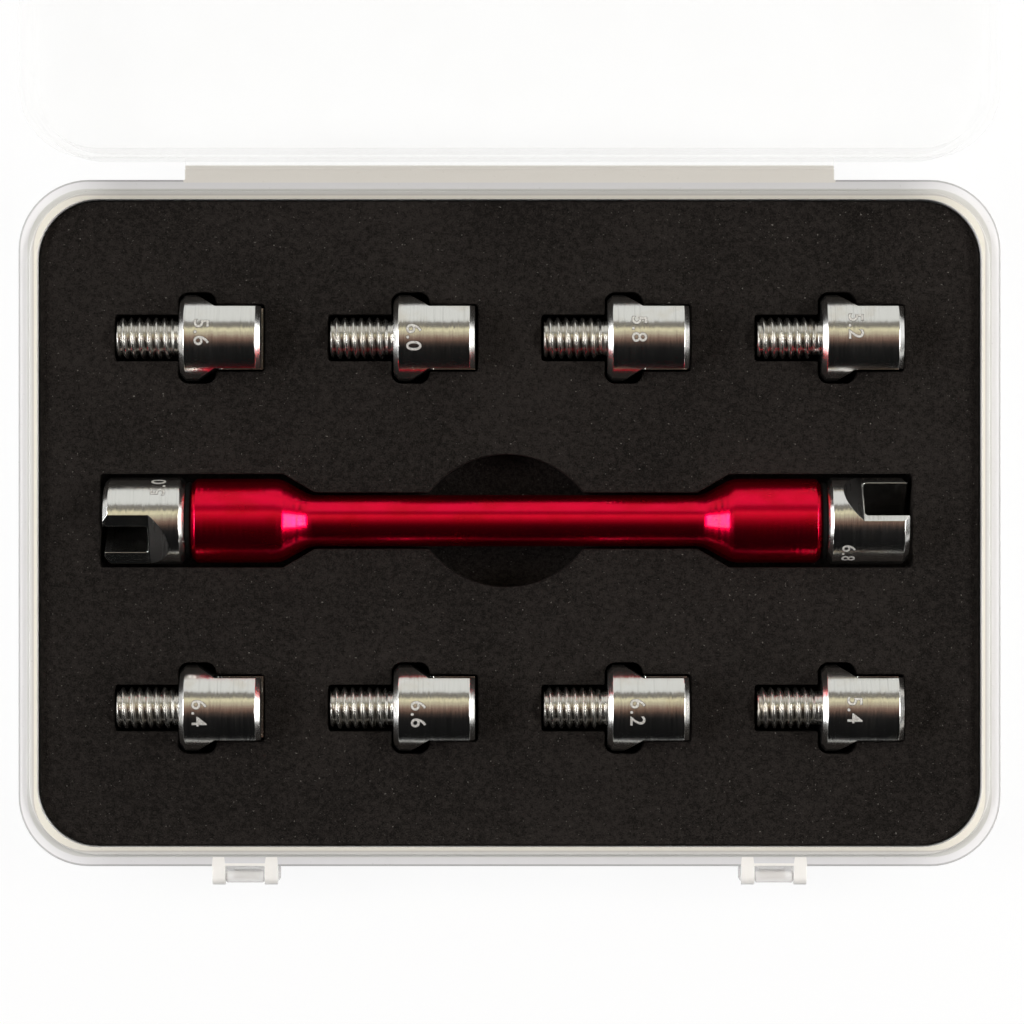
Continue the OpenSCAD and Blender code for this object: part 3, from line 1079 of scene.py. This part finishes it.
@dataclass
class Tip:
    """Screw-in tip: a slotted head, a threaded stud and its number.

    Attributes:
        node: CAD node.
        body: CAD body.
        rear: Collar's rear face on the tip's axis.
        facing: The way that the jaw points.
        mark: The stamped number.
        threaded: Whether the stud shows, and gets its cut thread.
        head_r: Radius of the head.
        edge: Rounding of the head's edges.
        join: Distance within which the head's points become one before the rounding.
        flat: Angle in degrees within which its faces become one flat face.
        stud_r: Outer radius of the thread.
        stud_l: Length of the stud.
        pitch: Pitch of the thread.
        thread_t: Depth of the thread.
        crest: Where the thread's flank starts and how long it is, as shares of its wave.
        stud_cells: Points along the stud and round it.
        trim: How far past the collar's rear face the plain stud is cut off.
        buried: How far the stud reaches into the head.
        neck_r: Radius of the neck.
        neck_l: Length of the neck with its run-out.
        end_edge: Chamfer of the stud's end.
        run_out: Least and greatest lean of a run-out's faces along X.
        proud: Height of the numbers over the head.
        stroke: Widening of the numbers' strokes.
        painted_shade: Width of the painted shade round the strokes, where the walls of stamped digits would lie in
            shade.
        cap_share: Height of a digit as a share of the font's size.
        spacing: Spacing of the digits.
        text_half: Half the length of the text that is cut for bending.
        text_cuts: Number of those cuts.
        text_join: Distance within which the text's points become one.
    """

    node: str
    body: str
    rear: Vector
    facing: Facing
    mark: Mark
    threaded: bool = True
    head_r: float = 6.6
    edge: float = 0.08
    join: float = 0.05
    flat: float = 0.5
    stud_r: float = 3.175
    stud_l: float = 9.7
    pitch: float = 1.27
    thread_t: float = 0.62
    crest: tuple[float, float] = (0.14, 0.7)
    stud_cells: tuple[int, int] = (230, 96)
    trim: float = 0.01
    buried: float = 0.25
    neck_r: float = 2.6
    neck_l: float = 1.5
    end_edge: float = 0.5
    run_out: tuple[float, float] = (0.40, 0.63)
    proud: float = 0.025
    stroke: float = 0.02
    painted_shade: float = 0.055
    cap_share: float = 0.73
    spacing: float = 1.1
    text_half: float = 2.6
    text_cuts: int = 27
    text_join: float = 0.001

    def head(self) -> None:
        """Head from the CAD node; a tip with a cut thread loses the plain stud at the collar's rear face.

        Crowded points are joined and flat faces made whole, so that the rounding doesn't overlap itself.
        """
        copy = node_copy(self.node)
        if self.threaded:
            all_parts = copy.verts[:] + copy.edges[:] + copy.faces[:]
            at = (self.rear + Vector((self.trim, 0.0, 0.0))) * MM
            cut = bmesh.ops.bisect_plane(
                copy, geom=all_parts, plane_co=at, plane_no=(1.0, 0.0, 0.0), clear_inner=True
            )
            rim = [part for part in cut["geom_cut"] if isinstance(part, bmesh.types.BMEdge)]
            bmesh.ops.contextual_create(copy, geom=rim)
            bmesh.ops.recalc_face_normals(copy, faces=copy.faces[:])
        merge(copy, self.join, self.flat)
        name = f"{self.node}_head"
        mesh = mesh_from(copy, name)
        self.mark_milled(mesh)
        piece = Dressing(self.body, CHROME, "chrome", (self.node,)).put(name, mesh)
        soften(piece, self.edge, 3, 24.0)

    def mark_milled(self, mesh: bpy.types.Mesh) -> None:
        """Marks the run-outs of the flats, whose faces lean along X by the run-out's slope; the mark dulls them and
        gives them a painted dark reflection.
        """
        normals = np.zeros(3 * len(mesh.polygons))
        mesh.polygons.foreach_get("normal", normals)
        lean = np.abs(normals.reshape(-1, 3)[:, 0])
        low, high = self.run_out
        attribute = mesh.attributes.new("milled_and_dark_reflection", "FLOAT", "FACE")
        attribute.data.foreach_set("value", ((lean > low) & (lean < high)).astype(np.float32))

    def stud(self) -> None:
        """Stud with a right-hand thread.

        With s the place along X in pitches less the turn, the thread's height is a flat-topped wave of s from root
        to crest. The radius is the least of the thread's, the neck's run-out and the end chamfer's, all about X.
        """
        x = np.linspace(-self.stud_l, self.buried, self.stud_cells[0])[:, None]
        turn = np.linspace(0.0, 2.0 * math.pi, self.stud_cells[1], endpoint=False)[None, :]
        wave = np.abs(2.0 * np.mod(x / self.pitch - turn / (2.0 * math.pi), 1.0) - 1.0)
        crest = np.clip((wave - self.crest[0]) / self.crest[1], 0.0, 1.0)
        thread = self.stud_r - self.thread_t * (1.0 - crest)
        neck_end = -self.neck_l + self.stud_r - self.neck_r
        run_out = self.neck_r + np.maximum(0.0, neck_end - x)
        chamfer = self.stud_r - self.end_edge + (x + self.stud_l)
        radius = np.minimum(np.minimum(thread, run_out), chamfer)
        shape = lathe(x[:, 0], radius)
        shape.points += np.array(self.rear)
        name = f"{self.node}_stud"
        mesh = mesh_of(name, shape)
        smooth_by_angle(mesh, 50.0)
        Dressing(self.body, STUD_STEEL, "chrome").put(name, mesh)

    def digits(self, name: str, widen: float, proud: float, finish: Finish) -> None:
        """Digits wrapped on the head.

        A point (u, v, w) of the flat text goes to the angle turn - u / r about the axis, to base + v along X and to
        the radius r + w, all mirrored for a tip that points to the left.

        Args:
            name: The piece's name.
            widen: Widening of the strokes.
            proud: Height over the head.
            finish: Their finish.
        """
        curve = bpy.data.curves.new(name, "FONT")
        curve.body = self.mark.text
        curve.align_x = "CENTER"
        curve.extrude = proud
        curve.offset = widen
        curve.resolution_u = 6
        curve.size = self.mark.height / self.cap_share
        curve.space_character = self.spacing
        flat = linked(f"{name}_flat", curve)
        bpy.context.view_layer.update()
        mesh = bpy.data.meshes.new_from_object(flat.evaluated_get(bpy.context.evaluated_depsgraph_get()))
        bpy.data.objects.remove(flat)
        bpy.data.curves.remove(curve)
        copy = bmesh.new()
        copy.from_mesh(mesh)
        bpy.data.meshes.remove(mesh)
        bmesh.ops.remove_doubles(copy, verts=copy.verts[:], dist=self.text_join)
        for place in np.linspace(-self.text_half, self.text_half, self.text_cuts):
            parts = copy.verts[:] + copy.edges[:] + copy.faces[:]
            bmesh.ops.bisect_plane(copy, geom=parts, plane_co=(place, 0.0, 0.0), plane_no=(1.0, 0.0, 0.0))
        bmesh.ops.recalc_face_normals(copy, faces=copy.faces[:])
        mesh = bpy.data.meshes.new(name)
        copy.to_mesh(mesh)
        copy.free()
        points = np.zeros(3 * len(mesh.vertices))
        mesh.vertices.foreach_get("co", points)
        u, v, w = points.reshape(-1, 3).T
        way = self.facing.value
        angle = math.radians(self.mark.turn) - way * u / self.head_r
        radius = self.head_r + w
        placed = np.stack(
            [
                self.rear.x + way * (self.mark.base + v),
                self.rear.y + radius * np.sin(angle),
                self.rear.z + radius * np.cos(angle),
            ],
            -1,
        )
        mesh.vertices.foreach_set("co", (placed * MM).ravel())
        mesh.update()
        Dressing(self.body, finish, "chrome").put(name, mesh)

    def build(self) -> None:
        """Makes the tip's pieces."""
        self.head()
        if self.threaded:
            self.stud()
        self.digits(f"{self.node}_number", self.stroke, self.proud, MARK)
        # A wider, lower copy of the digits in dark metal: painted shade round the strokes.
        self.digits(f"{self.node}_groove", self.stroke + self.painted_shade, self.proud / 2.0, STROKE_SHADE)


@dataclass
class TipSet:
    """The eight spare tips in two rows and the two that are screwed into the handle.

    Attributes:
        row_x: Collar's rear face of each row's first tip.
        step: Distance between neighbours in a row.
        row_y: Distance of the rows from the middle.
        axis_z: Height of every axis.
        fitted_x: Collars' rear faces of the fitted tips.
        fitted_y: Place of the wrench's axis.
    """

    row_x: float = -50.25
    step: float = 32.6
    row_y: float = 28.3
    axis_z: float = 11.1
    fitted_x: tuple[float, float] = (-49.4, 48.4)
    fitted_y: float = 0.35

    def spares(self) -> list[Tip]:
        """The spare tips, back row first, each row from the left."""
        back = [Mark("5.6", 2.44, 6.0), Mark("6.0", 2.06, -1.0), Mark("5.8", 3.66, 10.6), Mark("5.2", 3.9, 14.7)]
        front = [Mark("6.4", 2.1, -4.6), Mark("6.6", 2.75, -6.0), Mark("6.2", 3.4, -3.3), Mark("5.4", 3.7, 0.0)]
        tips = []
        for row, marks in ((1, back), (-1, front)):
            for place, mark in enumerate(marks):
                size = mark.text.replace(".", "_")
                rear = Vector((self.row_x + place * self.step, row * self.row_y, self.axis_z))
                tips.append(Tip(f"tip_{size}", f"spare_{size}", rear, Facing.RIGHT, mark))
        return tips

    def fitted(self) -> list[Tip]:
        """The two tips in the handle."""
        left = Vector((self.fitted_x[0], self.fitted_y, self.axis_z))
        right = Vector((self.fitted_x[1], self.fitted_y, self.axis_z))
        return [
            Tip("tip_5_0", "left_tip", left, Facing.LEFT, Mark("5.0", 3.0, 53.0, 2.3), threaded=False),
            Tip("tip_6_8", "right_tip", right, Facing.RIGHT, Mark("6.8", 2.2, -50.0, 2.1), threaded=False),
        ]

    def build(self) -> None:
        """Makes all ten tips."""
        for tip in self.spares() + self.fitted():
            tip.build()


@dataclass(frozen=True)
class SoftBox:
    """A soft panel light that faces the set.

    Attributes:
        name: Its name.
        lean: Lowest and highest angle from straight up, in degrees.
        towards: Compass direction that it stands in, in degrees from +X towards +Y.
        width: Its width in metres.
        far: Its distance in metres.
        glow: Colour and strength of its face, where one is white.
    """

    name: str
    lean: tuple[float, float]
    towards: float
    width: float
    far: float
    glow: Colour

    def build(self) -> None:
        """Places an area light whose face has the wanted glow: power is pi times area times glow."""
        low, high = (math.radians(angle) for angle in self.lean)
        middle, compass = (low + high) / 2.0, math.radians(self.towards)
        out = Vector(
            (math.sin(middle) * math.cos(compass), math.sin(middle) * math.sin(compass), math.cos(middle))
        )
        lamp = bpy.data.lights.new(self.name, "AREA")
        lamp.shape = "RECTANGLE"
        lamp.size = self.width
        lamp.size_y = 2.0 * self.far * math.tan((high - low) / 2.0)
        strongest = max(self.glow)
        lamp.color = tuple(part / strongest for part in self.glow)
        lamp.energy = math.pi * lamp.size * lamp.size_y * strongest
        stand = linked(self.name, lamp)
        stand.location = out * self.far
        stand.rotation_euler = out.to_track_quat("Z", "Y").to_euler()


@dataclass
class Studio:
    """Camera, floor, lights and surround.

    Attributes:
        eye: The camera's place in millimetres.
        lens: Its focal length in millimetres.
        sensor: Width of its sensor in millimetres.
        floor_half: Half the floor's side in metres.
        floor_cells: Squares along the floor's side.
        floor_drop: How far the floor lies below zero in metres.
        air: Strength of the surround.
        arc_far: Distance of the arc's panels in metres.
        arc: Panels from the back over the top to the front: lean from, lean to, width in metres and glow.
    """

    eye: Vector = field(default_factory=lambda: Vector((0.38, 1.68, 613.0)))
    lens: float = 138.16
    sensor: float = 36.0
    floor_half: float = 0.55
    floor_cells: int = 8
    floor_drop: float = 0.0001
    air: float = 0.004
    arc_far: float = 1.2
    arc: tuple[tuple[float, float, float, Colour], ...] = (
        (43.0, 92.0, 2.6, (0.73, 0.73, 0.70)),
        (27.0, 43.0, 1.6, (0.17, 0.155, 0.135)),
        (17.0, 27.0, 1.6, (0.80, 0.73, 0.49)),
        (8.0, 17.0, 1.6, (0.50, 0.44, 0.31)),
        (2.0, 8.0, 1.6, (0.33, 0.24, 0.18)),
        (-4.0, 2.0, 1.6, (0.20, 0.12, 0.09)),
        (-9.0, -4.0, 1.6, (0.14, 0.078, 0.055)),
        (-14.0, -9.0, 1.6, (0.06, 0.034, 0.024)),
        (-22.0, -14.0, 1.6, (0.02, 0.013, 0.011)),
    )

    def camera(self) -> None:
        """Looks straight down with +Y up in the picture."""
        data = bpy.data.cameras.new("camera")
        data.lens = self.lens
        data.sensor_width = self.sensor
        data.clip_start, data.clip_end = 0.01, 50.0
        stand = linked("camera", data)
        stand.location = self.eye * MM
        bpy.context.scene.camera = stand

    def floor(self) -> None:
        """Flat paper under the set: a grid of x and y with z a hair below zero."""
        wide = self.floor_cells + 1
        side = np.linspace(-self.floor_half, self.floor_half, wide)
        x, y = np.meshgrid(side, side)
        points = np.stack([x, y, np.full_like(x, -self.floor_drop)], -1).reshape(-1, 3)
        cells = np.arange(self.floor_cells)
        row, column = np.meshgrid(cells, cells, indexing="ij")
        corner = row * wide + column
        quads = np.stack([corner, corner + 1, corner + wide + 1, corner + wide], -1).reshape(-1, 4)
        mesh = bpy.data.meshes.new("floor")
        mesh.from_pydata(points.tolist(), [], quads.tolist())
        mesh.materials.append(PAPER.material())
        linked("floor", mesh)

    def surround(self) -> None:
        """Dim room, white where the camera sees past the floor."""
        world = bpy.data.worlds.new("studio")
        world.use_nodes = True
        graph = Graph(world.node_tree)
        eye = graph.node("ShaderNodeLightPath", {}, {}, "Is Camera Ray")
        through = graph.node("ShaderNodeLightPath", {}, {}, "Is Transmission Ray")
        white = {"Color": (1.0, 1.0, 1.0, 1.0)}
        dim = graph.node("ShaderNodeBackground", {}, {**white, "Strength": self.air})
        bright = graph.node("ShaderNodeBackground", {}, {**white, "Strength": 1.0})
        sky = graph.node("ShaderNodeMixShader", {}, {0: eye.most(through), 1: dim, 2: bright})
        graph.output(sky, "ShaderNodeOutputWorld")
        bpy.context.scene.world = world

    def lights(self) -> None:
        """Lamps and walls left and right, and an arc of panels from the back over the top to the front."""
        boxes = [
            SoftBox("left_lamp", (45.0, 60.0), 180.0, 0.6, 1.0, (11.5, 11.5, 11.6)),
            SoftBox("right_lamp", (45.0, 60.0), 0.0, 0.45, 0.75, (13.6, 13.4, 13.2)),
            SoftBox("left_wall", (67.0, 91.0), 180.0, 0.9, 1.0, (3.0, 3.0, 3.04)),
            SoftBox("right_wall", (67.0, 91.0), 0.0, 0.9, 1.0, (2.4, 2.37, 2.32)),
        ]
        for step, (low, high, width, glow) in enumerate(self.arc, 1):
            boxes.append(SoftBox(f"arc_{step}", (low, high), 90.0, width, self.arc_far, glow))
        for box in boxes:
            box.build()

    def build(self) -> None:
        """Sets up the whole studio."""
        bpy.context.scene.view_settings.view_transform = "Standard"
        self.camera()
        self.floor()
        self.surround()
        self.lights()
        LOG.info("studio stands")


def main() -> None:
    """Builds the studio and the set, piece by piece."""
    logging.basicConfig(level=logging.INFO, format="%(message)s")
    for assembly in (Studio(), Case(), FoamBed(), Wrench(), TipSet()):
        assembly.build()


if __name__ == "__main__":
    main()
